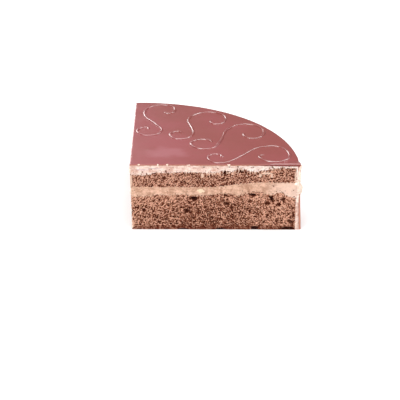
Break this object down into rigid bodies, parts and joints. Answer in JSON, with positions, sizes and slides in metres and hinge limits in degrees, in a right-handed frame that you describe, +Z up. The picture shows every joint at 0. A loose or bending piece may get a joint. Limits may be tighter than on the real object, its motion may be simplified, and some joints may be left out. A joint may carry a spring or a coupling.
{
  "type": "sacher torte slice",
  "caption": "Wedge of layered chocolate sponge torte with cream filling and coat under a milk chocolate glaze with piped scroll ornament, standing on its base.",
  "frame": {"origin": "centre of the bounding box's bottom face, on the surface that the slice stands on", "axes": "+X along the front cut from the tip to the round side, +Y away from the front cut, +Z up"},
  "size_m": [0.1168, 0.1128, 0.0481],
  "materials": {
    "base_sponge": "matte open crumb",
    "filling_cream": "satin",
    "lid_sponge": "matte open crumb",
    "coat_cream": "satin",
    "milk_chocolate": "gloss"
  },
  "bodies": {
    "root": {"sponge_base": "base_sponge", "cream_filling": "filling_cream", "sponge_lid": "lid_sponge", "cream_coat": "coat_cream", "glaze": "milk_chocolate"}
  },
  "joints": []
}
